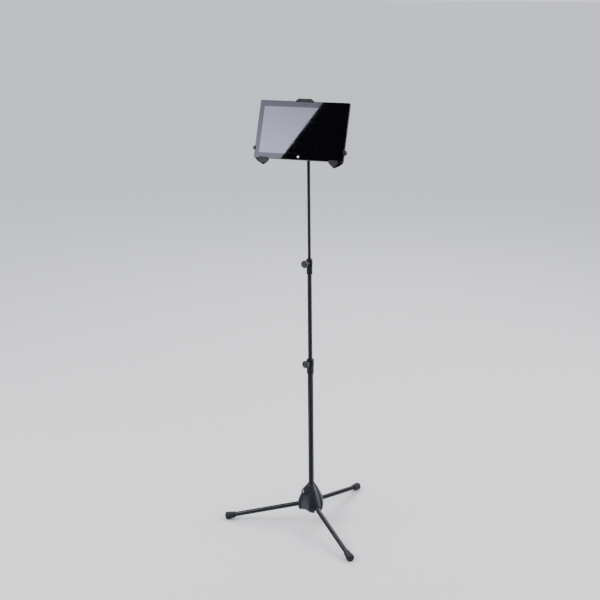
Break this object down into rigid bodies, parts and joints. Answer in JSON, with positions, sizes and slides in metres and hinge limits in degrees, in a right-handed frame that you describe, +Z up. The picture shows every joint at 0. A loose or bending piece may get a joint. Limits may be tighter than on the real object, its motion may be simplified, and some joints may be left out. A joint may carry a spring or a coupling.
{
  "type": "tablet music stand",
  "caption": "Floor stand with a folding tripod, a telescopic pole with hand-knob clamps and a tilting, turning spring-jawed holder that carries a tablet in place of sheet music.",
  "frame": {"origin": "middle of the bounding box, on the floor under the open tripod", "axes": "+Z up along the pole; the tablet faces -Y and leans back; +X is to the right of someone facing the screen"},
  "size_m": [0.4954, 0.4972, 1.4128],
  "materials": {
    "coated_tube": "black semi-gloss powder-coated steel tube",
    "coated_casting": "dark grey-black coated zinc casting",
    "black_plastic": "moulded black glass-filled nylon, fine grain",
    "knob_plastic": "moulded dark grey plastic, scalloped rim",
    "rubber": "matte black rubber",
    "zinc_steel": "zinc-plated steel",
    "brass": "turned brass",
    "tablet_shell": "satin black tablet casing",
    "tablet_glass": "glossy black-backed cover glass",
    "tablet_display": "dark display panel, switched off",
    "button_white": "plain white round button"
  },
  "bodies": {
    "base": {"base_hub": "coated_casting", "hub_tube_screw": "zinc_steel", "hub_plug": "black_plastic", "leg_pin_1": "zinc_steel", "leg_pin_2": "zinc_steel", "leg_pin_3": "zinc_steel", "lower_tube": "coated_tube", "lower_clamp_body": "black_plastic", "lower_clamp_pad": "brass"},
    "leg_1": {"leg_knee_1": "coated_casting", "leg_tube_1": "coated_tube", "leg_foot_1": "rubber"},
    "leg_2": {"leg_knee_2": "coated_casting", "leg_tube_2": "coated_tube", "leg_foot_2": "rubber"},
    "leg_3": {"leg_knee_3": "coated_casting", "leg_tube_3": "coated_tube", "leg_foot_3": "rubber"},
    "lower_knob": {"lower_clamp_knob": "knob_plastic", "lower_clamp_stud": "zinc_steel"},
    "middle_bush": {"middle_tube_bush": "black_plastic"},
    "middle": {"middle_tube": "coated_tube", "upper_clamp_body": "black_plastic", "upper_clamp_pad": "brass"},
    "upper_knob": {"upper_clamp_knob": "knob_plastic", "upper_clamp_stud": "zinc_steel"},
    "upper_bush": {"upper_tube_bush": "black_plastic"},
    "upper": {"upper_tube": "coated_tube", "tilt_fork": "coated_casting", "tilt_bolt": "zinc_steel"},
    "tilt_knob": {"tilt_knob": "knob_plastic"},
    "tilt": {"tilt_block": "coated_casting", "roll_bolt": "zinc_steel", "roll_friction_washer": "black_plastic"},
    "holder": {"holder_body": "black_plastic", "holder_cover": "black_plastic", "cover_screw_1": "zinc_steel", "cover_screw_2": "zinc_steel", "cover_screw_3": "zinc_steel", "cover_screw_4": "zinc_steel", "jaw_spring": "zinc_steel"},
    "top_jaw": {"top_arm": "black_plastic", "top_jaw": "black_plastic", "top_jaw_pad": "rubber", "top_jaw_screw": "zinc_steel"},
    "right_arm": {"right_arm": "black_plastic", "right_claw": "black_plastic", "right_claw_pad": "rubber", "right_claw_screw": "zinc_steel"},
    "left_arm": {"left_arm": "black_plastic", "left_claw": "black_plastic", "left_claw_pad": "rubber", "left_claw_screw": "zinc_steel"},
    "tablet": {"tablet_shell": "tablet_shell", "tablet_glass": "tablet_glass", "tablet_display": "tablet_display", "camera_lens": "tablet_glass"},
    "home_button": {"home_button": "button_white"},
    "power_button": {"power_button": "tablet_shell"},
    "volume_button": {"volume_button": "tablet_shell"}
  },
  "joints": [
    {"name": "leg_1_fold", "type": "hinge", "parent": "base", "child": "leg_1", "pos_m": [0.05321, -0.05158, 0.07037], "axis": [0.712, 0.7022, 0], "range_deg": [0, 77]},
    {"name": "leg_2_fold", "type": "hinge", "parent": "base", "child": "leg_2", "pos_m": [0.04274, -0.01135, 0.07037], "axis": [-0.9641, 0.2656, 0], "range_deg": [0, 77]},
    {"name": "leg_3_fold", "type": "hinge", "parent": "base", "child": "leg_3", "pos_m": [0.01314, -0.04054, 0.07037], "axis": [0.2521, -0.9677, 0], "range_deg": [0, 77]},
    {"name": "lower_knob_turn", "type": "hinge", "parent": "base", "child": "lower_knob", "pos_m": [0.03636, -0.03449, 0.5695], "axis": [-0.3173, -0.9483, 0], "range_deg": [0, 540]},
    {"name": "lower_telescope", "type": "slide", "parent": "base", "child": "middle_bush", "axis": [0, 0, 1], "range_m": [-0.279, 0.05]},
    {"name": "lower_swivel", "type": "hinge", "parent": "middle_bush", "child": "middle", "pos_m": [0.03636, -0.03449, 0.5], "axis": [0, 0, 1], "continuous": true},
    {"name": "upper_knob_turn", "type": "hinge", "parent": "middle", "child": "upper_knob", "pos_m": [0.03636, -0.03449, 0.9015], "axis": [-0.3173, -0.9483, 0], "range_deg": [0, 540]},
    {"name": "upper_telescope", "type": "slide", "parent": "middle", "child": "upper_bush", "axis": [0, 0, 1], "range_m": [-0.308, 0.05]},
    {"name": "upper_swivel", "type": "hinge", "parent": "upper_bush", "child": "upper", "pos_m": [0.03636, -0.03449, 0.9], "axis": [0, 0, 1], "continuous": true},
    {"name": "tilt_knob_turn", "type": "hinge", "parent": "upper", "child": "tilt_knob", "pos_m": [0.01636, -0.03449, 1.2973], "axis": [-1, 0, 0], "range_deg": [0, 540]},
    {"name": "head_tilt", "type": "hinge", "parent": "upper", "child": "tilt", "pos_m": [0.03636, -0.03449, 1.2973], "axis": [-1, 0, 0], "range_deg": [-23.5, 60]},
    {"name": "holder_roll", "type": "hinge", "parent": "tilt", "child": "holder", "pos_m": [0.03636, -0.03449, 1.2973], "axis": [0, -0.9171, 0.3987], "range_deg": [-90, 90]},
    {"name": "top_jaw_slide", "type": "slide", "parent": "holder", "child": "top_jaw", "axis": [0, 0.3987, 0.9171], "range_m": [0, 0.045], "stiffness_N_per_m": 120, "springref_m": -0.03, "deforming": ["jaw_spring"]},
    {"name": "tablet_lift", "type": "slide", "parent": "holder", "child": "tablet", "axis": [0, 0.3987, 0.9171], "range_m": [0, 0.045]},
    {"name": "right_arm_slide", "type": "slide", "parent": "holder", "child": "right_arm", "axis": [0.6949, -0.2868, -0.6595], "range_m": [0, 0.04]},
    {"name": "left_arm_slide", "type": "slide", "parent": "holder", "child": "left_arm", "axis": [-0.6949, -0.2868, -0.6595], "range_m": [0, 0.04]},
    {"name": "home_button_press", "type": "slide", "parent": "tablet", "child": "home_button", "axis": [0, 0.9171, -0.3987], "range_m": [0, 0.0004], "stiffness_N_per_m": 600},
    {"name": "power_button_press", "type": "slide", "parent": "tablet", "child": "power_button", "axis": [-1, 0, 0], "range_m": [0, 0.0004], "stiffness_N_per_m": 600},
    {"name": "volume_button_press", "type": "slide", "parent": "tablet", "child": "volume_button", "axis": [1, 0, 0], "range_m": [0, 0.0004], "stiffness_N_per_m": 600}
  ],
  "couplings": [
    {"joint": "tablet_lift", "follows": "top_jaw_slide", "ratio": 1}
  ]
}
